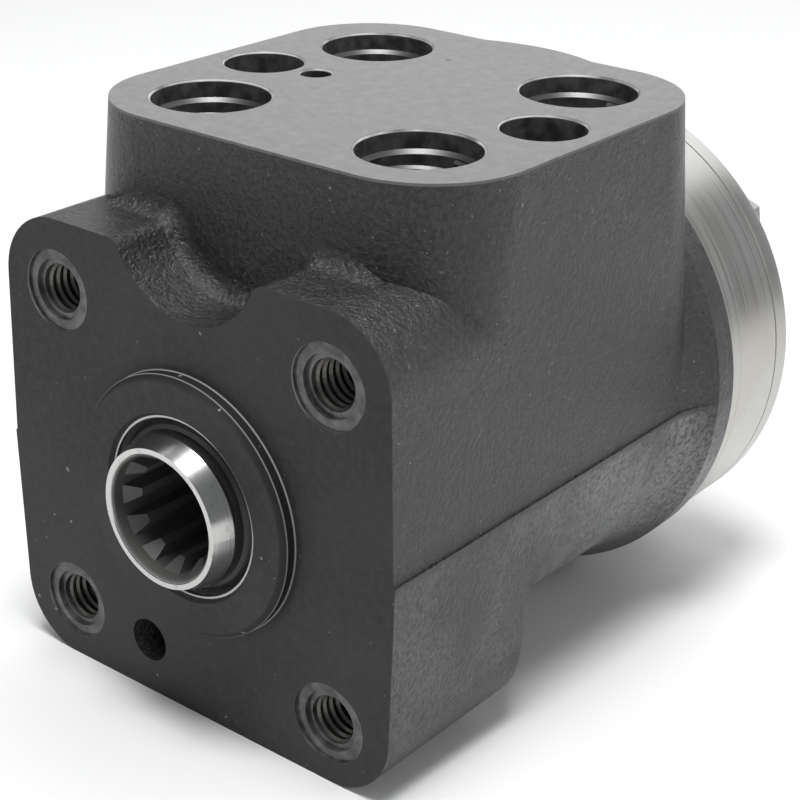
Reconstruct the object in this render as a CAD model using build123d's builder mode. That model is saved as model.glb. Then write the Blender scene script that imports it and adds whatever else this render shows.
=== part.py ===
from build123d import *
import os
from math import acos, atan, cos, degrees, pi, radians, sin, sqrt, tan

os.makedirs("parts", exist_ok=True)

# Orbital steering unit. Millimetres. The shaft axis is Y: the splined neck points to -Y,
# the gear set and end cover close the +Y end, and the four ports look up along +Z.
# The origin is on the shaft axis in the front mounting face.

# ---- Driving dimensions: cast housing ----
half_width = 41.9           # flange and port block, at the parting plane
side_draft = 1.6            # mould draft of the side walls, degrees
end_draft = 2.0             # mould draft of the port block's end walls, degrees
flange_top = 41.5
flange_bottom = 40.2        # depth of the foot below the shaft axis
flange_corner = 12.0
foot_length = 38.5          # at the parting plane
foot_draft = 7.0            # rear wall of the foot, degrees
foot_toe = 5.0              # round under the rear of the foot
mould_step = 0.3            # the lower mould half stands proud of the upper one
block_top = 56.9            # port face above the shaft axis
block_front = 13.4          # front wall at the port face
block_setback = 3.8         # rear wall at the port face, ahead of the joint face
block_corner_top = 18.0
block_corner_low = 13.0
bulge_radius = 31.0         # flow passage behind the rear wall
bulge_reach = 2.3
bulge_offset = 1.5
barrel_radius = 41.2
rear_radius = 45.3
rear_land = 5.0             # turned rim ahead of the joint face
flare_length = 14.0
housing_rear = 94.0         # machined joint face for the gear set
notch_radius = 15.9
notch_height = 47.0         # centre of the notch above the shaft axis
notch_lip = 2.5
shoulder_fillet = 3.5       # between the shoulder and the block's front wall
shoulder_bite = 0.15        # depth of the fillet's foot in the flange
shoulder_end = 29.0         # where the fillet runs out, either side
shoulder_fade = 7.0
boss_radius = 22.6
boss_height = 2.7
boss_chamfer = 0.9

# ---- Driving dimensions: holes in the housing ----
bolt_half_pitch = 29.17     # square pattern of the column bolts
bolt_minor = 4.25           # M10 tapping size
bolt_depth = 20.0
bolt_relief_radius = 5.25
bolt_relief_depth = 1.2
bolt_spotface_radius = 7.0
bolt_spotface_depth = 0.5
pilot_hole_radius = 3.9
pilot_hole_x = -11.0
pilot_hole_z = -30.1
pilot_hole_depth = 24.0
port_half_spacing = 22.0
port_front = 29.6
port_rear_margin = 17.2     # rear ports from the block's rear wall
port_mouth_radius = 10.05
port_mouth_depth = 3.8
port_minor = 9.3            # G1/2 tapping size
port_depth = 18.0
port_drill_radius = 3.0
port_drill_x = 20.0
port_drill_floor = 10.5
groove_pitch = 8.0
groove_shift = 2.0          # grooves lie towards the middle from their ports
groove_width = 4.0
groove_radius = 22.2
stud_x = 30.0               # valve block holes beside the ports
stud_mouth_radius = 7.05
stud_mouth_depth = 9.0
stud_minor = 4.25
stud_depth = 26.0
locating_hole_radius = 2.75
locating_hole_x = -18.4
locating_hole_shift = 0.6   # behind the middle of the ports
locating_hole_depth = 9.0
hole_chamfer = 0.35         # round the holes of the port face
feed_radius = 2.4           # seven drillings between the sleeve and the gear set
feed_wall = 0.9             # between them and the grooves
feed_reach = 37.5           # length from the joint face
check_inset = 7.9           # check valve inside the face seal
check_bore_radius = 5.0
check_chamber_radius = 4.5
check_seat_radius = 3.0
check_drill_radius = 1.6

# ---- Driving dimensions: shaft seal and thrust bearing ----
dust_recess_radius = 15.75
dust_recess_floor = 2.4
dust_recess_chamfer = 0.55
dust_case_wall = 0.4
dust_case_setback = 0.7     # front edge of the case behind the boss face
web_radius = 13.8
seal_groove_start = 4.2
seal_groove_end = 7.2
seal_groove_radius = 17.0
kin_ring_wall = 1.5
bearing_seat = 9.0
race_thickness = 1.6
needle_radius = 0.95
needle_length = 3.4
needle_inset = 0.45         # from the race's bore
needle_count = 20
cage_thickness = 1.3
race_bore = 14.3
race_chamfer = 0.8

# ---- Driving dimensions: spool and sleeve ----
bore_radius = 19.05
running_clearance = 0.05
spool_radius = 14.0
spool_bore = 9.6
neck_radius = 13.2
neck_tip_radius = 12.0
neck_reach = 7.2            # neck's front face ahead of the mounting face
neck_cone_end = 3.6         # where the cone reaches the neck's full size
neck_lip_chamfer = 0.5
end_clearance = 0.3         # spool set to distributor plate
deflection = 10.0           # spool against sleeve, degrees each way
column_teeth = 12
column_module = 1.5875      # 16/32 diametral pitch
column_root = 10.6
column_tip = 8.73
column_spline_front = 4.8   # ahead of the mounting face
column_spline_rear = 12.0
column_lead = 2.6
pressure_angle = 30.0
pin_setback = 31.0          # cross pin ahead of the joint face
pin_radius = 4.0
pin_chamfer = 0.5
row_hole_radius = 1.8
commutation_radius = 1.5
flow_groove_width = 3.0
flow_groove_depth = 1.2
spring_half_length = 17.2
spring_front = 16.0
spring_height = 7.5
spring_thickness = 0.55
leaf_gap = 0.04             # between neighbouring leaves
spring_pack = 3.2           # half height of the pack in its slot
spring_slot_clearance = 0.15
ring_front = 15.0
ring_length = 9.6
ring_wall = 1.35

# ---- Driving dimensions: gear set and its drive ----
lobe_count = 7
lobe_radius = 6.0
lobe_inset = 1.3            # lobe centres inside the screw circle
eccentricity = 3.0
mesh_clearance = 0.1
lobe_phase = 90.0           # one lobe and its screw stand straight up
pocket_radius = 12.0
pocket_inset = 11.9         # inside the lobe centres
pocket_core_inset = 3.5
gear_radius = 44.5
gear_width = 13.5
side_clearance = 0.03       # rotor against the faces beside it
edge_chamfer = 0.4
plate_thickness = 4.0
plate_bore = 12.0
plate_slot_depth = 1.5
plate_slot_inset = 2.5      # inside the lobe centres
cover_thickness = 6.2
cover_chamfer_radial = 1.5
cover_chamfer_axial = 2.5
drive_teeth = 12
drive_root = 10.9
drive_tip = 9.0
drive_clearance = 0.5       # tilting room of the shaft head in the rotor
drive_backlash = 0.35
drive_half_tooth = 1.3      # half width of a rotor tooth at its middle
head_setback = 8.5          # middle of the head ahead of the gear ring's rear
head_length = 8.0
head_crown = 0.5
points_per_tooth = 20       # of the rotor's outline
shank_radius = 6.0
fork_radius = 7.5
fork_length = 8.0           # beyond the cross pin
fork_clearance = 0.12
spacer_radius = 8.7
spacer_thickness = 3.1

# ---- Driving dimensions: joint screws and seals ----
screw_inset = 9.7           # screw circle inside the gear ring's rim
screw_radius = 4.0
screw_clearance = 0.2
thread_clearance = 0.05
screw_reach = 13.0          # thread in the housing
tap_depth = 15.0
screw_head_flats = 12.0
screw_head_height = 2.9
screw_head_chamfer = 0.4
washer_radius = 6.8
washer_thickness = 1.2
face_seal_inset = 2.1       # middle of the seal inside the rim
face_seal_width = 1.6
face_seal_depth = 1.1
face_seal_side = 0.1
face_seal_round = 0.35

# ---- Driving dimensions: check valve ----
ball_radius = 4.25
ball_travel = 1.2
bushing_length = 7.0
bushing_bore = 2.8
bushing_setback = 0.5       # below the joint face
seat_gap = 0.05

# ---- Derived stations along the shaft ----
side_slope = tan(radians(side_draft))
end_slope = tan(radians(end_draft))
block_rear = housing_rear - block_setback
flare_end = housing_rear - rear_land
barrel_end = flare_end - flare_length
port_rear = block_rear - port_rear_margin
stud_y = (port_front + port_rear) / 2
locating_hole_y = stud_y + locating_hole_shift
pin_station = housing_rear - pin_setback
feed_station = housing_rear - feed_reach
plate_rear = housing_rear + plate_thickness
gear_rear = plate_rear + gear_width
cover_rear = gear_rear + cover_thickness
head_station = gear_rear - head_setback
feed_circle = groove_radius + feed_wall + feed_radius
needle_circle = race_bore + needle_inset + needle_length / 2
screw_circle = gear_radius - screw_inset
face_seal_circle = gear_radius - face_seal_inset
check_circle = face_seal_circle - check_inset
lobe_circle = screw_circle - lobe_inset
pocket_circle = lobe_circle - pocket_inset
pocket_core = lobe_circle - pocket_core_inset
plate_slot_end = lobe_circle - plate_slot_inset
needle_station = bearing_seat + race_thickness + needle_radius + running_clearance
race_inner_front = needle_station + needle_radius + running_clearance
sleeve_front = race_inner_front + race_thickness
spool_set_rear = housing_rear - end_clearance
sleeve_radius = bore_radius - running_clearance
sleeve_bore = spool_radius + running_clearance
ring_outer = sleeve_radius - running_clearance
ring_inner = ring_outer - ring_wall
tooth_count = lobe_count - 1
tilt = degrees(atan(eccentricity / (head_station - pin_station)))
lobe_step = 360 / lobe_count
chamber_phase = lobe_phase + lobe_step / 2
check_angle = chamber_phase + lobe_step * 3
seal_track = neck_radius + running_clearance
groove_stations = (
    port_front + groove_shift - groove_pitch / 2,
    port_front + groove_shift + groove_pitch / 2,
    port_rear - groove_shift - groove_pitch / 2,
    port_rear - groove_shift + groove_pitch / 2,
)


def across(station):
    """The plane across the shaft at a station; it faces the front, with X right and Z up."""
    return Plane.XZ.offset(-station)


def polar(radius, angle):
    """A point in a plane across the shaft."""
    return (radius * cos(radians(angle)), radius * sin(radians(angle)))


def tooth(root, tip, half_width_at_middle, angle=pressure_angle):
    """Corner points of a straight-sided tooth that stands across the local X axis."""
    middle = (root + tip) / 2
    lean = tan(radians(angle))
    at_root = half_width_at_middle + abs(root - middle) * lean
    at_tip = half_width_at_middle - abs(tip - middle) * lean
    return [(root, -at_root), (tip, -at_tip), (tip, at_tip), (root, at_root)]


def finish(part, name):
    """Name a piece and write it."""
    part.label = name
    export_step(part, f"parts/{name}.step")


# ---- Housing: one iron casting with its machined faces and bores ----
low_half = half_width + mould_step
block_width_top = 2 * (half_width - block_top * side_slope)
block_low_front = block_front - block_top * end_slope
block_low_rear = block_rear + block_top * end_slope
flange_run = block_front + block_corner_top
foot_rear_low = foot_length - flange_bottom * tan(radians(foot_draft))

# Cast fillet between the flange's shoulder and the block's front wall: the space in front
# of the wall has its rear edge rounded, and what the space leaves of a strip is the fillet.
shoulder_sink = shoulder_fillet * end_slope
wall_frame = Plane(
    origin=(0, block_front - (block_top - flange_top) * end_slope, flange_top - shoulder_sink),
    x_dir=(1, 0, 0),
    z_dir=(0, -cos(radians(end_draft)), sin(radians(end_draft))),
)
with BuildPart() as shoulder_space:
    with BuildSketch(wall_frame) as space_outline:
        with Locations((0, -shoulder_bite)):
            Rectangle(2 * half_width, 2 * shoulder_fillet, align=(Align.CENTER, Align.MIN))
        with Locations((0, notch_height - flange_top)):
            Circle(notch_radius + shoulder_bite)
        space_corners = space_outline.vertices().filter_by(lambda corner: abs(corner.X) < notch_radius)
        fillet(space_corners.group_by(Axis.Y)[0], notch_lip - shoulder_bite)
    extrude(amount=2 * shoulder_fillet)
    space_rims = shoulder_space.faces().sort_by(Axis.Y)[-1].edges()
    space_rims = space_rims.filter_by(lambda rim: abs(rim.center().X) < shoulder_end)
    fillet([rim for rim in space_rims if rim.center().Z < flange_top + shoulder_fillet], shoulder_fillet)

with BuildPart() as shoulder_strip:
    with BuildSketch(wall_frame):
        with BuildLine():
            Polyline(
                (-shoulder_end, 0),
                (-shoulder_end + shoulder_fade, shoulder_fillet),
                (shoulder_end - shoulder_fade, shoulder_fillet),
                (shoulder_end, 0),
                (shoulder_end, -notch_lip),
                (notch_radius, -notch_radius),
                (-notch_radius, -notch_radius),
                (-shoulder_end, -notch_lip),
                close=True,
            )
        make_face()
    extrude(amount=shoulder_fillet)
    extrude(shoulder_strip.faces().sort_by(Axis.Y)[-1], amount=shoulder_fillet)
    add(shoulder_space.part, mode=Mode.SUBTRACT)

with BuildPart() as housing:
    # Foot: the lower half of the flange outline, run back under the barrel.
    with BuildSketch(across(foot_length)) as foot_outline:
        with BuildLine():
            Polyline(
                (low_half, 0),
                (low_half - flange_bottom * side_slope, -flange_bottom),
                (-low_half + flange_bottom * side_slope, -flange_bottom),
                (-low_half, 0),
                close=True,
            )
        make_face()
        fillet(foot_outline.vertices().group_by(Axis.Y)[0], flange_corner)
    extrude(amount=foot_length)
    with BuildSketch(Plane.YZ) as foot_side:
        with BuildLine():
            Polyline(
                (0, 0),
                (foot_length, 0),
                (foot_rear_low, -flange_bottom),
                (0, -flange_bottom),
                close=True,
            )
        make_face()
        fillet(foot_side.vertices().sort_by_distance((foot_rear_low, -flange_bottom))[0], foot_toe)
    extrude(amount=low_half, both=True, mode=Mode.INTERSECT)

    # Flange: the upper half of the outline with its cast notch, run back into the port block.
    with BuildSketch(across(flange_run)) as flange_outline:
        with BuildLine():
            Polyline(
                (half_width, 0),
                (half_width - flange_top * side_slope, flange_top),
                (-half_width + flange_top * side_slope, flange_top),
                (-half_width, 0),
                close=True,
            )
        make_face()
        fillet(flange_outline.vertices().group_by(Axis.Y)[-1], flange_corner)
        with Locations((0, notch_height)):
            Circle(notch_radius, mode=Mode.SUBTRACT)
        notch_corners = flange_outline.vertices().filter_by(lambda corner: abs(corner.X) < notch_radius)
        fillet(notch_corners.group_by(Axis.Y)[-1], notch_lip)
    extrude(amount=flange_run)

    # Port block: drafted on all four walls.
    with BuildSketch(Plane.XY):
        with Locations((0, (block_low_front + block_low_rear) / 2)):
            RectangleRounded(2 * half_width, block_low_rear - block_low_front, block_corner_low)
    with BuildSketch(Plane.XY.offset(block_top)):
        with Locations((0, (block_front + block_rear) / 2)):
            RectangleRounded(block_width_top, block_rear - block_front, block_corner_top)
    loft()
    with BuildSketch(Plane.XY):
        with Locations((bulge_offset, block_rear + bulge_reach - bulge_radius)):
            Circle(bulge_radius)
    extrude(amount=block_top)

    add(shoulder_strip.part)

    # Barrel and the round rear end that carries the gear set; the lower half is the prouder one.
    for step, turn in ((0, 360), (mould_step, 180)):
        with BuildSketch(Plane.XY):
            with BuildLine():
                Line((0, flange_run), (barrel_radius + step, flange_run))
                Line((barrel_radius + step, flange_run), (barrel_radius + step, barrel_end))
                TangentArc((barrel_radius + step, barrel_end), (rear_radius, flare_end), tangent=(0, 1))
                Line((rear_radius, flare_end), (rear_radius, housing_rear))
                Line((rear_radius, housing_rear), (0, housing_rear))
                Line((0, housing_rear), (0, flange_run))
            make_face()
        revolve(axis=Axis.Y, revolution_arc=turn)
    skirt_lean = acos((barrel_radius + mould_step) / low_half)
    skirt_foot = ((barrel_radius + mould_step) * cos(skirt_lean), -(barrel_radius + mould_step) * sin(skirt_lean))
    with BuildSketch(across(flare_end)):
        with BuildLine():
            Polyline(
                (low_half, 0),
                skirt_foot,
                (-skirt_foot[0], skirt_foot[1]),
                (-low_half, 0),
                close=True,
            )
        make_face()
    extrude(amount=flare_end - flange_run)

    # Raised pilot boss around the shaft.
    with BuildSketch(across(0)):
        Circle(boss_radius)
    extrude(amount=boss_height)
    chamfer(housing.faces().sort_by(Axis.Y)[0].edges(), boss_chamfer)

    # Shaft seal recesses, bearing seat and the main bore, from the front to the rear.
    with BuildSketch(across(dust_recess_floor)):
        Circle(dust_recess_radius)
    extrude(amount=dust_recess_floor + boss_height, mode=Mode.SUBTRACT)
    recess_edges = housing.faces().sort_by(Axis.Y)[0].edges().sort_by(SortBy.LENGTH)[0]
    chamfer(recess_edges, dust_recess_chamfer)
    with BuildSketch(across(bearing_seat)):
        Circle(web_radius)
    extrude(amount=bearing_seat, mode=Mode.SUBTRACT)
    with BuildSketch(across(seal_groove_end)):
        Circle(seal_groove_radius)
    extrude(amount=seal_groove_end - seal_groove_start, mode=Mode.SUBTRACT)
    with BuildSketch(across(housing_rear)):
        Circle(bore_radius)
    extrude(amount=housing_rear - bearing_seat, mode=Mode.SUBTRACT)

    # Annular grooves, one for each port, and the drillings that reach them.
    for station in groove_stations:
        with BuildSketch(across(station + groove_width / 2)):
            Circle(groove_radius)
        extrude(amount=groove_width, mode=Mode.SUBTRACT)
    for side, station in zip((-1, 1, -1, 1), groove_stations):
        with BuildSketch(Plane.XY.offset(port_drill_floor)):
            with Locations((side * port_drill_x, station)):
                Circle(port_drill_radius)
        extrude(amount=block_top - port_drill_floor - port_depth, mode=Mode.SUBTRACT)

    # Ports, valve block holes and the locating hole in the top face.
    with Locations(Plane.XY.offset(block_top)):
        with Locations((0, (port_front + port_rear) / 2)):
            with GridLocations(2 * port_half_spacing, port_rear - port_front, 2, 2):
                CounterBoreHole(port_minor, port_mouth_radius, port_mouth_depth, port_depth)
        with Locations((-stud_x, stud_y), (stud_x, stud_y)):
            CounterBoreHole(stud_minor, stud_mouth_radius, stud_mouth_depth, stud_depth)
        with Locations((locating_hole_x, locating_hole_y)):
            Hole(locating_hole_radius, locating_hole_depth)
    port_face = housing.faces().sort_by(Axis.Z)[-1]
    chamfer([edge for rim in port_face.inner_wires() for edge in rim.edges()], hole_chamfer)

    # Column bolt holes and the plain drilling in the front face.
    with Locations(across(0)):
        with GridLocations(2 * bolt_half_pitch, 2 * bolt_half_pitch, 2, 2):
            CounterBoreHole(bolt_minor, bolt_relief_radius, bolt_relief_depth, bolt_depth)
            CounterBoreHole(bolt_relief_radius, bolt_spotface_radius, bolt_spotface_depth, bolt_relief_depth)
        with Locations((pilot_hole_x, pilot_hole_z)):
            Hole(pilot_hole_radius, pilot_hole_depth)

    # Seven feed drillings from the joint face, each turned in to the bore.
    with BuildSketch(across(housing_rear)):
        with PolarLocations(feed_circle, lobe_count, chamber_phase):
            Circle(feed_radius)
    extrude(amount=housing_rear - feed_station + feed_radius, mode=Mode.SUBTRACT)
    for index in range(lobe_count):
        inward = polar(1, chamber_phase + index * lobe_step)
        with BuildSketch(Plane(origin=(0, feed_station, 0), z_dir=(inward[0], 0, inward[1]))):
            Circle(feed_radius)
        extrude(amount=feed_circle, mode=Mode.SUBTRACT)

    # Tapped holes for the joint screws, and the joint face's seal groove.
    with BuildSketch(across(housing_rear)):
        with PolarLocations(screw_circle, lobe_count, lobe_phase):
            Circle(screw_radius + thread_clearance)
    extrude(amount=tap_depth, mode=Mode.SUBTRACT)
    with BuildSketch(across(housing_rear)):
        Circle(face_seal_circle + face_seal_width / 2 + face_seal_side)
        Circle(face_seal_circle - face_seal_width / 2 - face_seal_side, mode=Mode.SUBTRACT)
    extrude(amount=face_seal_depth, mode=Mode.SUBTRACT)

    # Check valve bore: threaded mouth, ball chamber and the drilled seat.
    check_x, check_z = polar(check_circle, check_angle)
    chamber_rear = housing_rear - bushing_setback - bushing_length
    chamber_length = 2 * ball_radius + ball_travel
    with BuildSketch(across(housing_rear)):
        with Locations((check_x, check_z)):
            Circle(check_bore_radius)
    extrude(amount=housing_rear - chamber_rear, mode=Mode.SUBTRACT)
    with BuildSketch(across(chamber_rear)):
        with Locations((check_x, check_z)):
            Circle(check_chamber_radius)
    extrude(amount=chamber_length, mode=Mode.SUBTRACT)
    with BuildSketch(across(chamber_rear - chamber_length)):
        with Locations((check_x, check_z)):
            Circle(check_seat_radius)
    seat_length = chamber_rear - chamber_length - groove_stations[-1] + check_seat_radius
    extrude(amount=seat_length, mode=Mode.SUBTRACT)
    check_way = polar(1, check_angle)
    with BuildSketch(Plane(origin=(0, groove_stations[-1], 0), z_dir=(check_way[0], 0, check_way[1]))):
        Circle(check_drill_radius)
    extrude(amount=check_circle, mode=Mode.SUBTRACT)
finish(housing.part, "housing")

# ---- Spool: splined neck in front, valve body inside the sleeve ----
spring_middle = spring_front + spring_height / 2
slot_height = 2 * (spring_pack + spring_slot_clearance)
pin_swing = sin(radians(deflection)) * spool_radius

with BuildPart() as spool:
    with BuildSketch(Plane.XY) as spool_half:
        with BuildLine():
            Polyline(
                (column_root + neck_lip_chamfer, -neck_reach),
                (neck_tip_radius, -neck_reach),
                (neck_radius, -neck_cone_end),
                (neck_radius, sleeve_front),
                (spool_radius, sleeve_front + spool_radius - neck_radius),
                (spool_radius, spool_set_rear),
                (spool_bore, spool_set_rear),
                (spool_bore, column_spline_rear),
                (column_root, column_spline_rear),
                (column_root, -neck_reach + neck_lip_chamfer),
                close=True,
            )
        make_face()
    revolve(axis=Axis.Y)

    # Internal spline for the steering column, with a conical lead-in.
    with BuildSketch(across(column_spline_rear)):
        with PolarLocations(0, column_teeth):
            Polygon(*tooth(column_root + running_clearance, column_tip, pi * column_module / 4), align=None)
    extrude(amount=column_spline_rear + column_spline_front)
    with BuildSketch(Plane.XY):
        with BuildLine():
            Polyline(
                (0, -column_spline_front),
                (column_root, -column_spline_front),
                (column_tip, -column_spline_front + column_lead),
                (0, -column_spline_front + column_lead),
                close=True,
            )
        make_face()
    revolve(axis=Axis.Y, mode=Mode.SUBTRACT)

    # Slot for the centring springs and the long slots that clear the cross pin.
    with BuildSketch(Plane.YZ):
        with Locations((spring_middle, 0)):
            Rectangle(spring_height + 2 * spring_slot_clearance, slot_height)
    extrude(amount=spool_radius, both=True, mode=Mode.SUBTRACT)
    with BuildSketch(Plane.YZ):
        with Locations((pin_station, 0)):
            SlotOverall(2 * (pin_swing + pin_radius + end_clearance), 2 * (pin_radius + end_clearance), rotation=90)
    extrude(amount=spool_radius, both=True, mode=Mode.SUBTRACT)

    # Flow grooves along the outside.
    for index in range(tooth_count):
        outward = polar(1, (index + 1 / 2) * 360 / tooth_count)
        flank = Plane(
            origin=(spool_radius * outward[0], 0, spool_radius * outward[1]),
            x_dir=(0, 1, 0),
            z_dir=(outward[0], 0, outward[1]),
        )
        with BuildSketch(flank):
            with Locations(((groove_stations[0] + groove_stations[1]) / 2 + groove_pitch, 0)):
                SlotCenterToCenter(groove_pitch * 2, flow_groove_width)
            with Locations((groove_stations[3] + groove_width, 0)):
                SlotCenterToCenter(groove_pitch, flow_groove_width)
        extrude(amount=-flow_groove_depth, mode=Mode.SUBTRACT)
finish(spool.part, "spool")

# ---- Sleeve: turns in the housing bore and meters the flow ----
with BuildPart() as sleeve:
    with BuildSketch(Plane.XY):
        with BuildLine():
            Polyline(
                (sleeve_bore, sleeve_front),
                (ring_inner - running_clearance, sleeve_front),
                (ring_inner - running_clearance, ring_front + ring_length),
                (sleeve_radius, ring_front + ring_length),
                (sleeve_radius, spool_set_rear),
                (sleeve_bore, spool_set_rear),
                close=True,
            )
        make_face()
    revolve(axis=Axis.Y)
    with BuildSketch(Plane.YZ):
        with Locations((spring_middle, 0)):
            Rectangle(spring_height + 2 * spring_slot_clearance, slot_height)
    extrude(amount=sleeve_radius, both=True, mode=Mode.SUBTRACT)
    with BuildSketch(Plane.YZ):
        with Locations((pin_station, 0)):
            Circle(pin_radius)
    extrude(amount=sleeve_radius, both=True, mode=Mode.SUBTRACT)
    for station in groove_stations:
        for index in range(tooth_count // 2):
            outward = polar(1, (index + 1 / 2) * 360 / tooth_count)
            with BuildSketch(Plane(origin=(0, station, 0), z_dir=(outward[0], 0, outward[1]))):
                Circle(row_hole_radius)
            extrude(amount=sleeve_radius, both=True, mode=Mode.SUBTRACT)
    for index in range(tooth_count):
        outward = polar(1, (index + 1 / 2) * 180 / tooth_count)
        with BuildSketch(Plane(origin=(0, feed_station, 0), z_dir=(outward[0], 0, outward[1]))):
            Circle(commutation_radius)
        extrude(amount=sleeve_radius, both=True, mode=Mode.SUBTRACT)
finish(sleeve.part, "sleeve")

# ---- Cross pin through the sleeve, spool and cardan fork ----
with BuildPart() as cross_pin:
    with BuildSketch(Plane.YZ):
        with Locations((pin_station, 0)):
            Circle(pin_radius)
    extrude(amount=sqrt(sleeve_radius**2 - pin_radius**2), both=True)
    chamfer(cross_pin.faces().filter_by(Axis.X).edges(), pin_chamfer)
finish(cross_pin.part, "cross_pin")

# ---- Centring springs: two flat leaves with four bowed leaves between them ----
bow_rise = spring_pack - 3 * spring_thickness - 3 * leaf_gap
with BuildPart() as flat_springs:
    with BuildSketch(across(spring_front + spring_height)):
        with Locations((0, spring_pack - spring_thickness / 2), (0, -spring_pack + spring_thickness / 2)):
            Rectangle(2 * spring_half_length, spring_thickness)
    extrude(amount=spring_height)
finish(flat_springs.part, "flat_springs")

with BuildPart() as bowed_springs:
    with BuildSketch(across(spring_front + spring_height)):
        for layer in (1, 2):
            rise = (spring_thickness + leaf_gap) * layer
            with BuildLine():
                outer_bow = ThreePointArc(
                    (-spring_half_length, bow_rise + rise),
                    (0, rise),
                    (spring_half_length, bow_rise + rise),
                )
                inner_bow = ThreePointArc(
                    (-spring_half_length, bow_rise + rise - spring_thickness),
                    (0, rise - spring_thickness),
                    (spring_half_length, bow_rise + rise - spring_thickness),
                )
                Line(outer_bow @ 0, inner_bow @ 0)
                Line(outer_bow @ 1, inner_bow @ 1)
            make_face()
    extrude(amount=spring_height)
    mirror(about=Plane.XY)
finish(bowed_springs.part, "bowed_springs")

with BuildPart() as spring_ring:
    with BuildSketch(across(ring_front + ring_length)):
        Circle(ring_outer)
        Circle(ring_inner, mode=Mode.SUBTRACT)
    extrude(amount=ring_length)
    chamfer(spring_ring.edges().filter_by(GeomType.CIRCLE), edge_chamfer / 2)
finish(spring_ring.part, "spring_ring")

# ---- Thrust needle bearing between the housing and the spool set ----
with BuildPart() as thrust_race_outer:
    with BuildSketch(across(bearing_seat + race_thickness)):
        Circle(sleeve_radius)
        Circle(race_bore, mode=Mode.SUBTRACT)
    extrude(amount=race_thickness)
    chamfer(thrust_race_outer.faces().sort_by(Axis.Y)[0].edges().sort_by(SortBy.LENGTH)[0], race_chamfer)
finish(thrust_race_outer.part, "thrust_race_outer")

with BuildPart() as thrust_race_inner:
    with BuildSketch(across(sleeve_front)):
        Circle(ring_outer)
        Circle(race_bore, mode=Mode.SUBTRACT)
    extrude(amount=race_thickness)
finish(thrust_race_inner.part, "thrust_race_inner")

window_half_length = needle_length / 2 + running_clearance
with BuildPart() as needle_cage:
    with BuildSketch(across(needle_station + cage_thickness / 2)):
        Circle(ring_outer)
        Circle(race_bore, mode=Mode.SUBTRACT)
        with PolarLocations(needle_circle, needle_count):
            Rectangle(2 * window_half_length, 2 * (needle_radius + running_clearance), mode=Mode.SUBTRACT)
    extrude(amount=cage_thickness)
finish(needle_cage.part, "needle_cage")

with BuildPart() as needle_rollers:
    for index in range(needle_count):
        outward = polar(1, index * 360 / needle_count)
        start = needle_circle - needle_length / 2
        with BuildSketch(
            Plane(
                origin=(start * outward[0], needle_station, start * outward[1]),
                x_dir=(0, 1, 0),
                z_dir=(outward[0], 0, outward[1]),
            )
        ):
            Circle(needle_radius)
        extrude(amount=needle_length)
finish(needle_rollers.part, "needle_rollers")

# ---- Shaft seal: square ring on the neck, pressed inwards by an O-ring ----
kin_ring_outer = seal_track + kin_ring_wall
seal_side = (seal_groove_end - seal_groove_start) / 2 - face_seal_side
with BuildPart() as kin_ring:
    with BuildSketch(across((seal_groove_start + seal_groove_end) / 2 + seal_side)):
        Circle(kin_ring_outer)
        Circle(seal_track, mode=Mode.SUBTRACT)
    extrude(amount=2 * seal_side)
    chamfer(kin_ring.edges().filter_by(GeomType.CIRCLE), face_seal_side)
finish(kin_ring.part, "kin_ring")

with BuildPart() as shaft_o_ring:
    with BuildSketch(Plane.XY):
        with Locations(((kin_ring_outer + seal_groove_radius) / 2, (seal_groove_start + seal_groove_end) / 2)):
            RectangleRounded(seal_groove_radius - kin_ring_outer, 2 * seal_side, face_seal_round)
    revolve(axis=Axis.Y)
finish(shaft_o_ring.part, "shaft_o_ring")

# ---- Dust seal: a sheet metal case with a moulded rubber lip ----
case_front = -boss_height + dust_case_setback
case_inner = dust_recess_radius - dust_case_wall
with BuildPart() as dust_seal_case:
    with BuildSketch(Plane.XY):
        with BuildLine():
            Polyline(
                (dust_recess_radius, case_front),
                (dust_recess_radius, dust_recess_floor),
                (web_radius + dust_case_wall, dust_recess_floor),
                (web_radius + dust_case_wall, dust_recess_floor - dust_case_wall),
                (case_inner, dust_recess_floor - dust_case_wall),
                (case_inner, case_front),
                close=True,
            )
        make_face()
    revolve(axis=Axis.Y)
finish(dust_seal_case.part, "dust_seal_case")

lip_depth = dust_case_setback
with BuildPart() as dust_seal:
    with BuildSketch(Plane.XY):
        with BuildLine():
            Polyline(
                (case_inner, dust_recess_floor - dust_case_wall),
                (seal_track + lip_depth, dust_recess_floor - dust_case_wall),
                (seal_track + lip_depth, case_front + 2 * lip_depth),
                (seal_track, case_front + lip_depth),
                (seal_track, case_front + lip_depth / 2),
                (seal_track + lip_depth, case_front + lip_depth),
                (case_inner - lip_depth, case_front + 2 * lip_depth),
                (case_inner, case_front + lip_depth),
                close=True,
            )
        make_face()
    revolve(axis=Axis.Y)
finish(dust_seal.part, "dust_seal")

# ---- Check valve in the joint face: free ball behind a threaded bushing ----
with BuildPart() as check_bushing:
    with BuildSketch(across(chamber_rear + bushing_length)):
        with Locations((check_x, check_z)):
            Circle(check_bore_radius - thread_clearance)
            RegularPolygon(bushing_bore, 6, major_radius=False, mode=Mode.SUBTRACT)
    extrude(amount=bushing_length)
finish(check_bushing.part, "check_bushing")

with BuildPart() as check_ball:
    with Locations((check_x, chamber_rear - ball_radius - seat_gap, check_z)):
        Sphere(ball_radius)
finish(check_ball.part, "check_ball")

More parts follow.
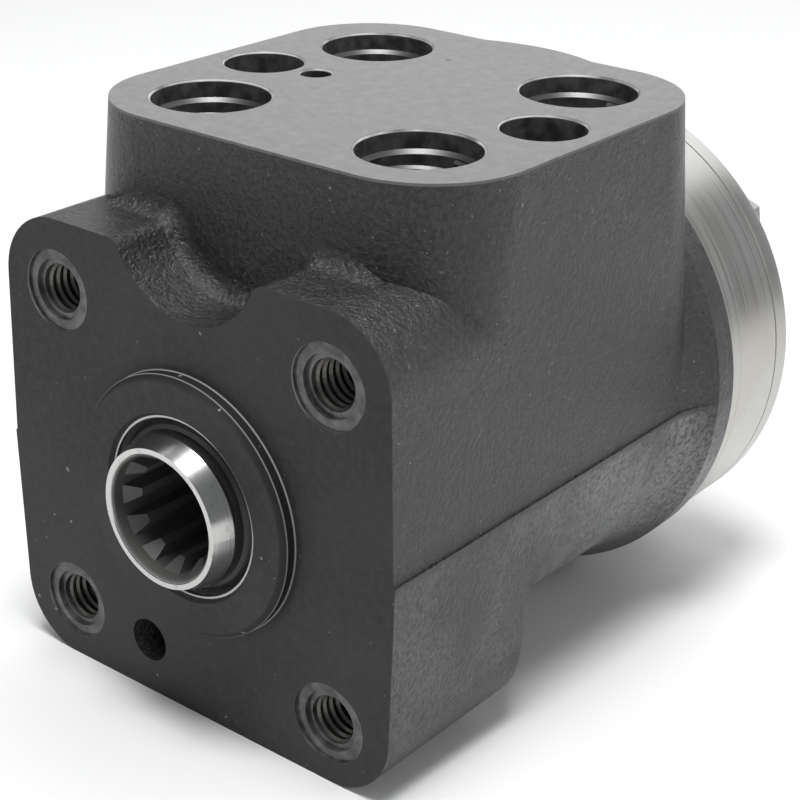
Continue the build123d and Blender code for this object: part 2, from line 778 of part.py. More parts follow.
# ---- Distributor plate: leads the feed drillings out to the gear chambers ----
with BuildPart() as distributor_plate:
    with BuildSketch(across(plate_rear)):
        Circle(gear_radius)
        Circle(plate_bore, mode=Mode.SUBTRACT)
        with PolarLocations(screw_circle, lobe_count, lobe_phase):
            Circle(screw_radius + screw_clearance, mode=Mode.SUBTRACT)
        with PolarLocations(feed_circle, lobe_count, chamber_phase):
            Circle(feed_radius, mode=Mode.SUBTRACT)
    extrude(amount=plate_thickness)
    with BuildSketch(across(plate_rear)):
        with PolarLocations((feed_circle + plate_slot_end) / 2, lobe_count, chamber_phase):
            SlotCenterToCenter(plate_slot_end - feed_circle, 2 * feed_radius)
    extrude(amount=plate_slot_depth, mode=Mode.SUBTRACT)
    plate_rims = distributor_plate.edges().filter_by(GeomType.CIRCLE).group_by(SortBy.LENGTH)[-1]
    chamfer(plate_rims, edge_chamfer / 2)
finish(distributor_plate.part, "distributor_plate")

# ---- Gear ring: seven round lobes, with a screw hole through each ----
with BuildPart() as gear_ring:
    with BuildSketch(across(gear_rear)):
        Circle(gear_radius)
        Circle(pocket_core, mode=Mode.SUBTRACT)
        with PolarLocations(pocket_circle, lobe_count, chamber_phase):
            Circle(pocket_radius, mode=Mode.SUBTRACT)
        with PolarLocations(lobe_circle, lobe_count, lobe_phase):
            Circle(lobe_radius)
        with PolarLocations(screw_circle, lobe_count, lobe_phase):
            Circle(screw_radius + screw_clearance, mode=Mode.SUBTRACT)
    extrude(amount=gear_width)
    ring_rims = gear_ring.edges().filter_by(GeomType.CIRCLE).group_by(SortBy.LENGTH)[-1]
    chamfer(ring_rims, edge_chamfer)
    with BuildSketch(across(plate_rear + face_seal_depth)):
        Circle(face_seal_circle + face_seal_width / 2 + face_seal_side)
        Circle(face_seal_circle - face_seal_width / 2 - face_seal_side, mode=Mode.SUBTRACT)
    extrude(amount=face_seal_depth, mode=Mode.SUBTRACT)
finish(gear_ring.part, "gear_ring")


def rotor_point(angle):
    """The rotor's outline: the path of a lobe centre seen from the rotor, moved in by the lobe."""
    path_x = lobe_circle * cos(angle) - eccentricity * cos(lobe_count * angle)
    path_y = lobe_circle * sin(angle) - eccentricity * sin(lobe_count * angle)
    run_x = -lobe_circle * sin(angle) + lobe_count * eccentricity * sin(lobe_count * angle)
    run_y = lobe_circle * cos(angle) - lobe_count * eccentricity * cos(lobe_count * angle)
    inset = (lobe_radius + mesh_clearance) / sqrt(run_x**2 + run_y**2)
    return (path_x - run_y * inset, path_y + run_x * inset)


# ---- Rotor: six teeth outside, splined inside for the cardan shaft ----
outline_points = points_per_tooth * tooth_count
with BuildPart() as rotor:
    with BuildSketch(across(gear_rear - side_clearance)):
        with BuildSketch(mode=Mode.PRIVATE) as rotor_outline:
            with BuildLine():
                Spline(*[rotor_point(2 * pi * i / outline_points) for i in range(outline_points)], periodic=True)
            make_face()
            Circle(drive_root, mode=Mode.SUBTRACT)
            with PolarLocations(0, drive_teeth):
                Polygon(*tooth(drive_root + running_clearance, drive_tip, drive_half_tooth), align=None)
        with Locations((0, eccentricity)):
            add(rotor_outline.sketch, rotation=lobe_phase)
    extrude(amount=gear_width - 2 * side_clearance)
finish(rotor.part, "rotor")

# ---- Cardan shaft: crowned spline in the rotor, fork on the cross pin ----
# Built upright on the shaft axis, then leaned about the pin towards the rotor's centre.
head_root = drive_tip - drive_clearance
head_tip = drive_root - drive_clearance
head_space = (drive_root + drive_tip) / 2 * pi / drive_teeth - drive_half_tooth - drive_backlash
head_front = head_station - head_length / 2
head_rear = head_station + head_length / 2
crown_radius = ((head_length / 2) ** 2 + head_crown**2) / (2 * head_crown)
with BuildPart() as cardan_upright:
    with BuildSketch(across(head_rear)):
        Circle(head_root)
        with PolarLocations(0, drive_teeth, 360 / drive_teeth / 2):
            Polygon(*tooth(head_root - running_clearance, head_tip, head_space), align=None)
    extrude(amount=head_length)
    with BuildSketch(Plane.XY):
        with BuildLine():
            Line((0, head_front), (head_tip - head_crown, head_front))
            ThreePointArc(
                (head_tip - head_crown, head_front), (head_tip, head_station), (head_tip - head_crown, head_rear)
            )
            Line((head_tip - head_crown, head_rear), (0, head_rear))
            Line((0, head_rear), (0, head_front))
        make_face()
    revolve(axis=Axis.Y, mode=Mode.INTERSECT)
    with BuildSketch(Plane.XY):
        with BuildLine():
            Polyline(
                (0, pin_station - fork_length),
                (fork_radius, pin_station - fork_length),
                (fork_radius, pin_station + fork_length),
                (shank_radius, pin_station + fork_length + fork_radius - shank_radius),
                (shank_radius, head_front - (head_root - shank_radius)),
                (head_root, head_front),
                (0, head_front),
                close=True,
            )
        make_face()
    revolve(axis=Axis.Y)
    # The slot runs past the pin by what the pin swings when the shaft leans along it.
    slot_end = pin_station + fork_radius * sin(radians(tilt))
    with BuildSketch(Plane.YZ):
        with Locations((slot_end - fork_length, 0)):
            Rectangle(2 * fork_length, 2 * (pin_radius + fork_clearance))
        with Locations((slot_end, 0)):
            Circle(pin_radius + fork_clearance)
    extrude(amount=fork_radius, both=True, mode=Mode.SUBTRACT)
lean = Axis((0, pin_station, 0), (1, 0, 0))
cardan_shaft = cardan_upright.part.rotate(lean, tilt)
finish(cardan_shaft, "cardan_shaft")

# ---- Spacer behind the cardan head, carried round with the rotor's centre ----
with BuildPart() as spacer:
    with BuildSketch(across(gear_rear - side_clearance)):
        with Locations((0, eccentricity)):
            Circle(spacer_radius)
    extrude(amount=spacer_thickness)
    chamfer(spacer.edges(), edge_chamfer)
finish(spacer.part, "spacer")

# ---- End cover, its screws and washers ----
with BuildPart() as end_cover:
    with BuildSketch(across(cover_rear)):
        Circle(gear_radius)
    extrude(amount=cover_thickness)
    cover_rim = end_cover.faces().sort_by(Axis.Y)[-1]
    chamfer(cover_rim.edges(), cover_chamfer_radial, cover_chamfer_axial, reference=cover_rim)
    with BuildSketch(across(cover_rear)):
        with PolarLocations(screw_circle, lobe_count, lobe_phase):
            Circle(screw_radius + screw_clearance)
    extrude(amount=cover_thickness, mode=Mode.SUBTRACT)
    with BuildSketch(across(gear_rear + face_seal_depth)):
        Circle(face_seal_circle + face_seal_width / 2 + face_seal_side)
        Circle(face_seal_circle - face_seal_width / 2 - face_seal_side, mode=Mode.SUBTRACT)
    extrude(amount=face_seal_depth, mode=Mode.SUBTRACT)
finish(end_cover.part, "end_cover")

with BuildPart() as cover_washers:
    with BuildSketch(across(cover_rear + washer_thickness)):
        with PolarLocations(screw_circle, lobe_count, lobe_phase):
            Circle(washer_radius)
            Circle(screw_radius + screw_clearance, mode=Mode.SUBTRACT)
    extrude(amount=washer_thickness)
finish(cover_washers.part, "cover_washers")

head_seat = cover_rear + washer_thickness
with BuildPart() as cover_screws:
    with BuildSketch(across(head_seat + screw_head_height)):
        with PolarLocations(screw_circle, lobe_count, lobe_phase):
            RegularPolygon(screw_head_flats / 2, 6, major_radius=False)
    extrude(amount=screw_head_height)
    with BuildSketch(across(head_seat)):
        with PolarLocations(screw_circle, lobe_count, lobe_phase):
            Circle(screw_radius)
    extrude(amount=head_seat - housing_rear + screw_reach)
finish(cover_screws.part, "cover_screws")

# ---- Face seals: one O-ring at each of the three joints ----
for name, joint_face in (
    ("housing_o_ring", housing_rear - face_seal_depth / 2),
    ("plate_o_ring", plate_rear + face_seal_depth / 2),
    ("cover_o_ring", gear_rear + face_seal_depth / 2),
):
    with BuildPart() as face_seal:
        with BuildSketch(Plane.XY):
            with Locations((face_seal_circle, joint_face)):
                RectangleRounded(face_seal_width, face_seal_depth, face_seal_round)
        revolve(axis=Axis.Y)
    finish(face_seal.part, name)
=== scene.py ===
from math import atan2, cos, pi, radians, sin

import bmesh
import bpy
from mathutils import Matrix, Vector


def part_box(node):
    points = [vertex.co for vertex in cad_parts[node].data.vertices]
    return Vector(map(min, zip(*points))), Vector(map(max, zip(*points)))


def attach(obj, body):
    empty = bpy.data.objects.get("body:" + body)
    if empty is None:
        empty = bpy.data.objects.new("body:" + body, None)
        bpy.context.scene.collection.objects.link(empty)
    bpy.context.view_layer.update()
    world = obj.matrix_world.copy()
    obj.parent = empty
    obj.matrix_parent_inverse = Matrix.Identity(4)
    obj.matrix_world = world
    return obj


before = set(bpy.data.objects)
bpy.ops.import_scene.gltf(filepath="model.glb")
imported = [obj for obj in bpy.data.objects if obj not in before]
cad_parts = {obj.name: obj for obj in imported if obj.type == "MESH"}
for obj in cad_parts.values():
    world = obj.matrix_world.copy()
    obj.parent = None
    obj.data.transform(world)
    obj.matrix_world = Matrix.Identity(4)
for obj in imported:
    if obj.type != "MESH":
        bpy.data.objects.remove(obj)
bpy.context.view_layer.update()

MM = 0.001

# ---- Sizes shared with the frame ----
PORT_FACE_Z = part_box("housing")[1][2]
JOINT_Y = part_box("distributor_plate")[0][1]
LOWEST_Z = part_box("housing")[0][2]
BOLT_HALF_PITCH = 29.17 * MM
BOLT_RELIEF_DEPTH, BOLT_WALL, BOLT_CREST = 1.2 * MM, 4.25 * MM, 3.85 * MM
BOLT_PITCH, BOLT_THREAD_LENGTH = 1.5 * MM, 18 * MM
SPOTFACE_RADIUS = 7.0 * MM
PORT_X = 22.0 * MM
PORT_Y = (29.6 * MM, 73.0 * MM)
PORT_MOUTH_DEPTH = 3.8 * MM
PORT_WALL, PORT_CREST, PORT_LEAD = 9.3 * MM, 8.8 * MM, 0.8 * MM
PORT_PITCH, PORT_THREAD_LENGTH = 1.814 * MM, 13.5 * MM
STUD_X, STUD_Y = 30.0 * MM, 51.3 * MM
LOCATING_HOLE_X, LOCATING_HOLE_Y = -18.4 * MM, 51.9 * MM
PIT_X, PIT_Y = -6.7 * MM, 74.1 * MM
BOSS_RADIUS, BOSS_EDGE_Y = 22.6 * MM, -1.8 * MM


# ---- Small helpers for node materials ----
class Paint:
    """A node material that is painted by the object's own coordinates, in metres."""

    def __init__(self, name, metallic=0.0, roughness=0.5):
        self.material = bpy.data.materials.new(name)
        self.material.use_nodes = True
        self.tree = self.material.node_tree
        self.tree.nodes.clear()
        self.surface = self.tree.nodes.new("ShaderNodeBsdfPrincipled")
        output = self.tree.nodes.new("ShaderNodeOutputMaterial")
        self.tree.links.new(self.surface.outputs["BSDF"], output.inputs["Surface"])
        self.surface.inputs["Metallic"].default_value = metallic
        self.surface.inputs["Roughness"].default_value = roughness
        self.place = self.tree.nodes.new("ShaderNodeTexCoord").outputs["Object"]
        split = self.tree.nodes.new("ShaderNodeSeparateXYZ")
        self.tree.links.new(self.place, split.inputs[0])
        self.x, self.y, self.z = split.outputs

    def _feed(self, socket, value):
        if isinstance(value, bpy.types.NodeSocket):
            self.tree.links.new(value, socket)
        else:
            socket.default_value = value

    def math(self, operation, first, second=0.0):
        node = self.tree.nodes.new("ShaderNodeMath")
        node.operation = operation
        self._feed(node.inputs[0], first)
        self._feed(node.inputs[1], second)
        return node.outputs[0]

    def times(self, first, second):
        return self.math("MULTIPLY", first, second)

    def most(self, first, *others):
        """The largest of several values, for masks that are joined."""
        for other in others:
            first = self.math("MAXIMUM", first, other)
        return first

    def ramp(self, value, low, high, to_low=0.0, to_high=1.0):
        """A value carried from one range to another, without overshoot."""
        node = self.tree.nodes.new("ShaderNodeMapRange")
        node.inputs["From Min"].default_value = low
        node.inputs["From Max"].default_value = high
        node.inputs["To Min"].default_value = to_low
        node.inputs["To Max"].default_value = to_high
        self._feed(node.inputs["Value"], value)
        return node.outputs[0]

    def noise(self, scale, detail=2.0, roughness=0.5, stretch=(1, 1, 1)):
        """Noise over the object's coordinates; scale is in features per metre."""
        mapping = self.tree.nodes.new("ShaderNodeMapping")
        mapping.inputs["Scale"].default_value = stretch
        self.tree.links.new(self.place, mapping.inputs["Vector"])
        node = self.tree.nodes.new("ShaderNodeTexNoise")
        node.inputs["Scale"].default_value = scale
        node.inputs["Detail"].default_value = detail
        node.inputs["Roughness"].default_value = roughness
        self.tree.links.new(mapping.outputs[0], node.inputs["Vector"])
        return node.outputs["Fac"]

    def distance(self, across, along):
        """Distance from a point given by two coordinates that are already taken from it."""
        return self.math("SQRT", self.math("ADD", self.times(across, across), self.times(along, along)))

    def distance_from(self, first, at_first, second, at_second):
        return self.distance(self.math("SUBTRACT", first, at_first), self.math("SUBTRACT", second, at_second))

    def line(self, value, at, half_width):
        """A thin line where a value passes a level."""
        off = self.math("ABSOLUTE", self.math("SUBTRACT", value, at))
        return self.ramp(off, half_width, half_width * 0.4)

    def mix(self, factor, first, second):
        node = self.tree.nodes.new("ShaderNodeMix")
        node.data_type = "RGBA"
        self._feed(node.inputs[0], factor)
        self._feed(node.inputs[6], (*first, 1) if isinstance(first, tuple) else first)
        self._feed(node.inputs[7], (*second, 1) if isinstance(second, tuple) else second)
        return node.outputs[2]

    def bump(self, height, distance, strength=1.0):
        node = self.tree.nodes.new("ShaderNodeBump")
        node.inputs["Distance"].default_value = distance
        self._feed(node.inputs["Strength"], strength)
        self._feed(node.inputs["Height"], height)
        self.tree.links.new(node.outputs[0], self.surface.inputs["Normal"])

    def set(self, **sockets):
        for name, value in sockets.items():
            self._feed(self.surface.inputs[name.replace("_", " ")], value)


# ---- Materials ----
class Casting:
    """Where the casting is machined, as masks over its own coordinates."""

    def __init__(self, paint):
        wide, deep = paint.math("ABSOLUTE", paint.x), paint.math("ABSOLUTE", paint.z)
        middle, half = (PORT_Y[0] + PORT_Y[1]) / 2, (PORT_Y[1] - PORT_Y[0]) / 2
        along = paint.math("ABSOLUTE", paint.math("SUBTRACT", paint.y, middle))
        self.shaft = paint.distance(paint.x, paint.z)
        self.bolts = paint.distance_from(wide, BOLT_HALF_PITCH, deep, BOLT_HALF_PITCH)
        self.ports = paint.distance_from(wide, PORT_X, along, half)
        self.studs = paint.distance_from(wide, STUD_X, paint.y, STUD_Y)
        self.pin = paint.distance_from(paint.x, LOCATING_HOLE_X, paint.y, LOCATING_HOLE_Y)
        self.port_face = paint.ramp(paint.z, PORT_FACE_Z - 0.5 * MM, PORT_FACE_Z - 0.4 * MM)
        self.front = paint.ramp(paint.y, 0.3 * MM, 0.1 * MM)
        self.faces = paint.most(self.port_face, self.front)
        self.bores = self.find_bores(paint)
        self.skin = paint.math("SUBTRACT", 1.0, paint.most(self.faces, self.bores))

    def find_bores(self, paint):
        """Walls of the ports, stud holes, locating hole, bolt holes and shaft bore."""
        in_ports = paint.ramp(self.ports, 10.2 * MM, 10.1 * MM)
        in_studs = paint.ramp(self.studs, 7.2 * MM, 7.1 * MM)
        in_pin = paint.ramp(self.pin, 2.9 * MM, 2.8 * MM)
        near_top = paint.ramp(paint.z, PORT_FACE_Z - 27 * MM, PORT_FACE_Z - 26 * MM)
        in_top = paint.times(paint.most(in_ports, in_studs, in_pin), near_top)
        near_front = paint.ramp(paint.y, 21 * MM, 20 * MM)
        in_front = paint.times(paint.ramp(self.bolts, 7.15 * MM, 7.05 * MM), near_front)
        in_shaft_bore = paint.ramp(self.shaft, 20 * MM, 19.5 * MM)
        inside = paint.most(in_front, in_shaft_bore, in_top)
        return paint.times(inside, paint.math("SUBTRACT", 1.0, self.faces))


def sand_skin(paint, casting, pebbles, clouds):
    """Dark coated sand-cast skin, with a painted bluish reflection of the floor, lighter and blotched under
    the parting line.
    """
    grain = paint.ramp(pebbles, 0.38, 0.64)
    dark = paint.mix(grain, (0.001, 0.0011, 0.0011), (0.027, 0.0283, 0.0276))
    dark = paint.mix(paint.ramp(clouds, 0.35, 0.65, 0, 0.2), dark, (0.016, 0.017, 0.0165))
    # Painted reflection of the floor: lighter bluish blotched patches under the parting line, stronger
    # towards the back.
    reflection_blotches = paint.ramp(paint.noise(38, 3, 0.6), 0.4, 0.62)
    floor_reflection = paint.times(paint.ramp(paint.z, -0.5 * MM, -1.5 * MM), reflection_blotches)
    floor_reflection = paint.times(floor_reflection, paint.ramp(paint.y, 20 * MM, 55 * MM, 0.35, 1.0))
    dark = paint.mix(paint.times(floor_reflection, paint.ramp(pebbles, 0.36, 0.58)), dark, (0.17, 0.175, 0.18))
    specks = paint.ramp(paint.noise(1300, 1, 0.5), 0.74, 0.78)
    return paint.mix(paint.times(specks, casting.skin), dark, (0.2, 0.2, 0.2))


def ground_face(paint, casting):
    """Ground port face, with painted highlights on the edges round its holes and one small pit."""
    scuffs = paint.ramp(paint.noise(420, 5, 0.75), 0.3, 0.7)
    face = paint.mix(scuffs, (0.095, 0.097, 0.0925), (0.145, 0.1475, 0.1415))
    # Painted highlights: bright patchy lines on the edges round the ports, studs and pin hole.
    round_ports = paint.line(casting.ports, 10.2 * MM, 0.18 * MM)
    round_studs = paint.line(casting.studs, 7.2 * MM, 0.16 * MM)
    round_pin = paint.line(casting.pin, 2.9 * MM, 0.18 * MM)
    rim_highlights = paint.most(round_ports, round_studs, round_pin)
    patchy = paint.ramp(paint.noise(160, 2), 0.35, 0.6)
    face = paint.mix(paint.times(rim_highlights, patchy), face, (0.42, 0.42, 0.41))
    pit = paint.distance_from(paint.x, PIT_X, paint.y, PIT_Y)
    return paint.mix(paint.ramp(pit, 0.7 * MM, 0.35 * MM), face, (0.03, 0.028, 0.025))


def turned_front(paint, casting):
    """Dull turned front face, with painted shade on the boss's side wall, painted highlights on the boss's
    foot, on its chamfer edge and on the rubbed spotface edges, and small nicks of wear.
    """
    fine = paint.ramp(paint.noise(600, 5, 0.8), 0.3, 0.7)
    face = paint.mix(fine, (0.012, 0.0128, 0.0124), (0.034, 0.0352, 0.0345))
    face = paint.mix(paint.ramp(paint.noise(28, 2), 0.4, 0.65, 0, 0.5), face, (0.040, 0.041, 0.040))
    # Painted shade: the boss's side wall darkened almost to black.
    outer = paint.ramp(casting.shaft, 21.4 * MM, 22.2 * MM)
    shaded_boss_side = paint.times(outer, paint.ramp(paint.y, -0.1 * MM, -0.3 * MM))
    face = paint.mix(paint.times(shaded_boss_side, 0.75), face, (0.006, 0.006, 0.006))
    # Painted highlights: bright lines at the boss's foot, on its chamfer edge and on the spotface edges,
    # which are also rubbed; the nicks are wear.
    foot = paint.line(casting.shaft, BOSS_RADIUS, 0.22 * MM)
    foot = paint.times(foot, paint.line(paint.y, 0.0, 0.3 * MM))
    edge = paint.line(casting.shaft, BOSS_RADIUS, 0.15 * MM)
    edge = paint.times(edge, paint.line(paint.y, BOSS_EDGE_Y, 0.16 * MM))
    spots = paint.line(casting.bolts, SPOTFACE_RADIUS, 0.14 * MM)
    spots = paint.times(spots, paint.ramp(paint.noise(90, 1), 0.45, 0.6))
    nicks = paint.ramp(paint.noise(700, 0, 0.5), 0.82, 0.85)
    faint_highlights_and_rubbed_rims = paint.times(paint.math("ADD", edge, spots), 0.6)
    highlights_and_nicks = paint.most(foot, faint_highlights_and_rubbed_rims, paint.times(nicks, 0.6))
    return paint.mix(paint.times(highlights_and_nicks, 0.85), face, (0.34, 0.34, 0.325))


def cast_iron():
    """One iron casting: sand-cast skin, bored walls, ground port face and turned front face."""
    paint = Paint("cast_iron")
    casting = Casting(paint)
    # Pebbles of about half a millimetre, on wider lumps and clouds.
    pebbles = paint.noise(1150, 4, 0.7)
    lumps = paint.noise(300, 2, 0.5)
    clouds = paint.noise(55, 3, 0.6)
    # Bore walls: machined grey, with painted reflections in a streaky pattern.
    reflection_streaks = paint.ramp(paint.noise(420, 2, 0.5), 0.35, 0.65)
    bore_wall = paint.mix(reflection_streaks, (0.04, 0.04, 0.039), (0.11, 0.11, 0.107))
    colour = paint.mix(casting.bores, sand_skin(paint, casting, pebbles, clouds), bore_wall)
    colour = paint.mix(casting.port_face, colour, ground_face(paint, casting))
    colour = paint.mix(casting.front, colour, turned_front(paint, casting))
    dull_front, dull_top = paint.times(casting.front, 0.55), paint.times(casting.port_face, 0.42)
    paint.set(
        Base_Color=colour,
        Roughness=paint.most(paint.ramp(clouds, 0.3, 0.7, 0.24, 0.35), dull_front, dull_top),
        Metallic=paint.ramp(casting.bores, 0, 1, 0, 0.35),
        Specular_IOR_Level=paint.ramp(casting.faces, 0, 1, 0.62, 0.25),
    )
    height = paint.math("ADD", pebbles, paint.times(lumps, 0.6))
    paint.bump(height, 0.46 * MM, paint.ramp(casting.skin, 0, 1, 0.03, 1.0))
    return paint.material


def turned_steel():
    """Light turned steel of the discs behind the casting."""
    paint = Paint("turned_steel", metallic=1.0)
    rings = paint.noise(1.0, 2, 0.6, stretch=(15, 2600, 15))
    stain = paint.noise(45, 2, 0.5)
    colour = paint.mix(rings, (0.42, 0.42, 0.40), (0.56, 0.56, 0.54))
    colour = paint.mix(paint.ramp(stain, 0.42, 0.66, 0, 0.6), colour, (0.46, 0.43, 0.385))
    paint.set(Base_Color=colour, Roughness=paint.ramp(rings, 0.3, 0.7, 0.26, 0.4))
    paint.bump(rings, 0.02 * MM, 0.4)
    return paint.material


def neck_steel():
    """Polished outside, matte broached teeth inside, painted darker for the shade in the bore."""
    paint = Paint("neck_steel")
    inside = paint.ramp(paint.distance(paint.x, paint.z), 11.0 * MM, 10.8 * MM)
    rings = paint.noise(1.0, 2, 0.6, stretch=(10, 3000, 10))
    wear = paint.noise(500, 3, 0.6)
    bright = paint.mix(rings, (0.44, 0.44, 0.43), (0.62, 0.62, 0.605))
    bright = paint.mix(paint.ramp(wear, 0.6, 0.7, 0, 0.5), bright, (0.3, 0.3, 0.29))
    # The teeth inside are matte and painted darker for the shade in the bore.
    paint.set(Base_Color=paint.mix(inside, bright, (0.11, 0.11, 0.105)))
    paint.set(Roughness=paint.ramp(inside, 0, 1, 0.2, 0.5), Metallic=paint.ramp(inside, 0, 1, 1.0, 0.35))
    paint.bump(rings, 0.02 * MM, 0.3)
    return paint.material


def plain_steel(name, colour, roughness):
    paint = Paint(name, metallic=1.0, roughness=roughness)
    paint.set(Base_Color=(*colour, 1))
    return paint.material


def rubber():
    paint = Paint("rubber", roughness=0.45)
    paint.set(Base_Color=(0.012, 0.012, 0.013, 1))
    paint.bump(paint.noise(1200, 2, 0.5), 0.05 * MM, 0.4)
    return paint.material


def seal_plastic():
    paint = Paint("seal_plastic", roughness=0.5)
    paint.set(Base_Color=(0.20, 0.17, 0.12, 1))
    return paint.material


def dress(names, material):
    """Gives CAD nodes their finish."""
    for name in names:
        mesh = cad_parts[name].data
        mesh.materials.clear()
        mesh.materials.append(material)


casting = cast_iron()
dress(["housing"], casting)
dress(["distributor_plate", "gear_ring", "end_cover"], turned_steel())
dress(["spool"], neck_steel())
dress(["dust_seal_case"], plain_steel("bright_case", (0.4, 0.4, 0.39), 0.3))
dress(["cover_screws", "cover_washers"], plain_steel("screw_steel", (0.34, 0.34, 0.33), 0.38))
dress(
    ["sleeve", "cross_pin", "spring_ring", "thrust_race_inner", "thrust_race_outer", "needle_cage"],
    plain_steel("hardened_steel", (0.42, 0.42, 0.41), 0.3),
)
dress(["needle_rollers", "check_ball", "rotor", "spacer"], plain_steel("lapped_steel", (0.5, 0.5, 0.5), 0.2))
dress(["flat_springs", "bowed_springs"], plain_steel("spring_steel", (0.28, 0.29, 0.32), 0.35))
dress(["cardan_shaft", "check_bushing"], plain_steel("forged_steel", (0.25, 0.25, 0.25), 0.45))
dress(["dust_seal", "shaft_o_ring", "housing_o_ring", "plate_o_ring", "cover_o_ring"], rubber())
dress(["kin_ring"], seal_plastic())


# ---- Threads ----
def thread(name, mouth, inward, wall, crest, pitch, length, finish, steps=28, lead=0.0):
    """A ridge wound inside a tapped hole, from its mouth along the inward direction.

    With a lead, the ridge starts at the mouth's step, under a lead-in cone of that height.
    """
    bm = bmesh.new()
    root_half, crest_half = pitch * 0.42, pitch * 0.08
    hidden = wall + 0.15 * MM
    first = root_half + 0.1 * MM if lead else 0.0
    profile = ((hidden, -root_half), (crest, -crest_half), (crest, crest_half), (hidden, root_half))
    corners = [bm.verts.new((radius, 0, along + first)) for radius, along in profile]
    edges = [bm.edges.new((corners[i - 1], corners[i])) for i in range(len(corners))]
    turns = (length - pitch) / pitch
    count = round(turns * steps)
    wound = bmesh.ops.spin(
        bm,
        geom=corners + edges,
        axis=(0, 0, 1),
        cent=(0, 0, 0),
        dvec=(0, 0, pitch / steps),
        angle=2 * pi * count / steps,
        steps=count,
    )
    last = [item for item in wound["geom_last"] if isinstance(item, bmesh.types.BMVert)]
    bmesh.ops.contextual_create(bm, geom=corners)
    bmesh.ops.contextual_create(bm, geom=last)
    if lead:
        # Lead-in cone on the step above the first turn.
        section = ((wall + 0.9 * MM, 0), (wall, 0), (wall + 0.9 * MM, -lead))
        cone = [bm.verts.new((radius, 0, along)) for radius, along in section]
        rim = [bm.edges.new((cone[i - 1], cone[i])) for i in range(len(cone))]
        bmesh.ops.spin(
            bm, geom=cone + rim, axis=(0, 0, 1), cent=(0, 0, 0), angle=2 * pi, steps=steps, use_merge=True
        )
    bmesh.ops.recalc_face_normals(bm, faces=bm.faces)
    direction = Vector(inward)
    turn = Vector((0, 0, 1)).rotation_difference(direction).to_matrix().to_4x4()
    start = Vector(mouth) + direction * (0 if lead else pitch / 2)
    bmesh.ops.transform(bm, matrix=Matrix.Translation(start) @ turn, verts=bm.verts)
    mesh = bpy.data.meshes.new(name)
    bm.to_mesh(mesh)
    bm.free()
    mesh.polygons.foreach_set("use_smooth", [False] * len(mesh.polygons))
    ridge = bpy.data.objects.new(name, mesh)
    bpy.context.collection.objects.link(ridge)
    ridge.data.materials.append(finish)
    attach(ridge, "housing_body")
    return ridge


bolt_thread = plain_steel("bolt_thread", (0.13, 0.125, 0.115), 0.4)
port_thread = plain_steel("port_thread", (0.10, 0.10, 0.098), 0.45)
for side, side_name in ((-1, "left"), (1, "right")):
    for level, level_name in ((-1, "low"), (1, "high")):
        thread(
            f"bolt_thread_{side_name}_{level_name}",
            mouth=(side * BOLT_HALF_PITCH, BOLT_RELIEF_DEPTH, level * BOLT_HALF_PITCH),
            inward=(0, 1, 0),
            wall=BOLT_WALL,
            crest=BOLT_CREST,
            pitch=BOLT_PITCH,
            length=BOLT_THREAD_LENGTH,
            finish=bolt_thread,
        )
    for row, station in zip(("front", "rear"), PORT_Y):
        thread(
            f"port_thread_{side_name}_{row}",
            mouth=(side * PORT_X, station, PORT_FACE_Z - PORT_MOUTH_DEPTH),
            inward=(0, 0, -1),
            wall=PORT_WALL,
            crest=PORT_CREST,
            pitch=PORT_PITCH,
            length=PORT_THREAD_LENGTH,
            finish=port_thread,
            steps=120,
            lead=PORT_LEAD,
        )

# ---- Camera: from the front, right and above ----
AZIMUTH, ELEVATION, ROLL = radians(38.79), radians(24.62), radians(0.84)
DISTANCE = 323.0 * MM
TARGET = Vector((8.66, 40.0, 9.08)) * MM
FOCAL_PIXELS, PICTURE_PIXELS = 1888.95, 800
CENTRE_PIXEL = (390.2, 388.2)


def set_camera():
    back = Vector((sin(AZIMUTH) * cos(ELEVATION), -cos(AZIMUTH) * cos(ELEVATION), sin(ELEVATION)))
    right = Vector((0, 0, 1)).cross(back).normalized()
    up = back.cross(right)
    right, up = right * cos(ROLL) + up * sin(ROLL), up * cos(ROLL) - right * sin(ROLL)
    data = bpy.data.cameras.new("camera")
    data.sensor_width = 36
    data.lens = data.sensor_width * FOCAL_PIXELS / PICTURE_PIXELS
    data.shift_x = 0.5 - CENTRE_PIXEL[0] / PICTURE_PIXELS
    data.shift_y = CENTRE_PIXEL[1] / PICTURE_PIXELS - 0.5
    data.clip_start = 0.01
    camera = bpy.data.objects.new("camera", data)
    turn = Matrix((right, up, back)).transposed().to_4x4()
    camera.matrix_world = Matrix.Translation(TARGET + back * DISTANCE) @ turn
    bpy.context.collection.objects.link(camera)
    bpy.context.scene.camera = camera


set_camera()

# ---- Studio: white sweep under soft lights ----
FOOT_Z = -40.2 * MM


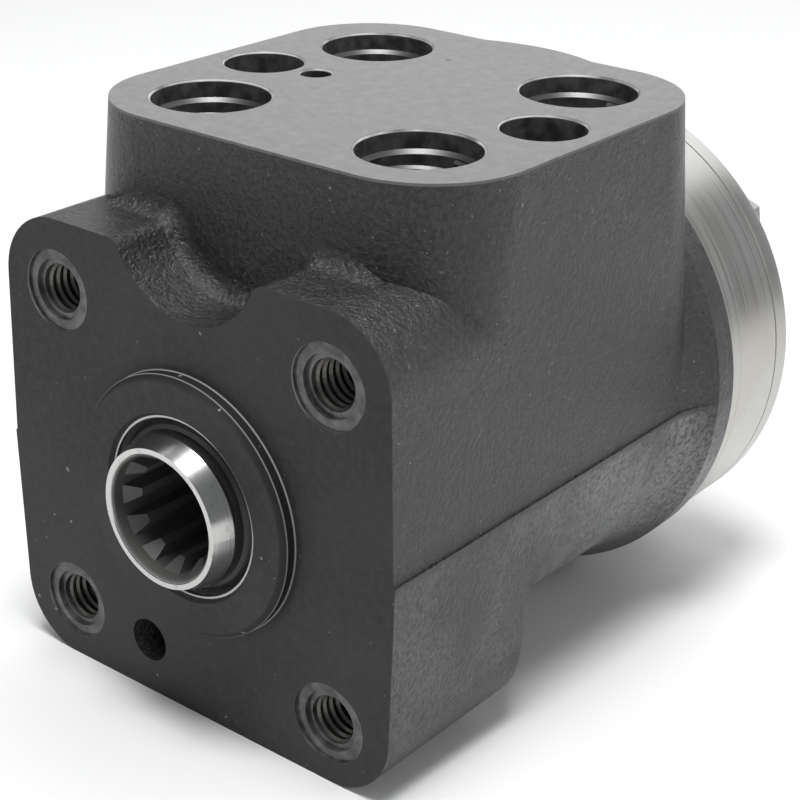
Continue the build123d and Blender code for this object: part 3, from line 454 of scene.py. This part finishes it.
def add_floor():
    """A pale floor that touches the foot's front edge and the round rear end."""
    slope = atan2(FOOT_Z - LOWEST_Z, JOINT_Y)
    bm = bmesh.new()
    bmesh.ops.create_grid(bm, x_segments=1, y_segments=1, size=4)
    tilt = Matrix.Rotation(-slope, 4, "X")
    bmesh.ops.transform(bm, matrix=Matrix.Translation((0, 0, FOOT_Z)) @ tilt, verts=bm.verts)
    mesh = bpy.data.meshes.new("floor")
    bm.to_mesh(mesh)
    bm.free()
    floor = bpy.data.objects.new("floor", mesh)
    bpy.context.collection.objects.link(floor)
    paint = Paint("pale_floor", roughness=0.9)
    paint.set(Base_Color=(0.68, 0.68, 0.68, 1))
    mesh.materials.append(paint.material)


def add_light(name, at, size, power, colour=(1, 1, 1)):
    """A square soft box that looks at the middle of the unit."""
    data = bpy.data.lights.new(name, "AREA")
    data.shape = "SQUARE"
    data.size = size
    data.energy = power
    data.color = colour
    light = bpy.data.objects.new(name, data)
    place = Vector(at)
    aim = (Vector((0, 0.05, 0.01)) - place).to_track_quat("-Z", "Y")
    light.matrix_world = Matrix.Translation(place) @ aim.to_matrix().to_4x4()
    bpy.context.collection.objects.link(light)


def set_world():
    """White to the camera, soft grey light to everything else."""
    world = bpy.data.worlds.new("studio")
    bpy.context.scene.world = world
    world.use_nodes = True
    tree = world.node_tree
    tree.nodes.clear()
    output = tree.nodes.new("ShaderNodeOutputWorld")
    seen = tree.nodes.new("ShaderNodeLightPath")
    shine = tree.nodes.new("ShaderNodeBackground")
    shine.inputs["Color"].default_value = (0.75, 0.77, 0.8, 1)
    shine.inputs["Strength"].default_value = 0.3
    backdrop = tree.nodes.new("ShaderNodeBackground")
    backdrop.inputs["Color"].default_value = (1, 1, 1, 1)
    mix = tree.nodes.new("ShaderNodeMixShader")
    tree.links.new(seen.outputs["Is Camera Ray"], mix.inputs[0])
    tree.links.new(shine.outputs[0], mix.inputs[1])
    tree.links.new(backdrop.outputs[0], mix.inputs[2])
    tree.links.new(mix.outputs[0], output.inputs["Surface"])


add_floor()
add_light("back", (-0.35, 0.9, 0.75), 1.5, 10)
add_light("overhead", (0.1, -0.12, 1.1), 0.4, 15)
add_light("right", (0.95, 0.5, 0.5), 0.5, 3.3)
add_light("left_front", (-0.6, -0.9, 0.35), 0.5, 1.5)
set_world()

scene = bpy.context.scene
scene.view_settings.view_transform = "Standard"
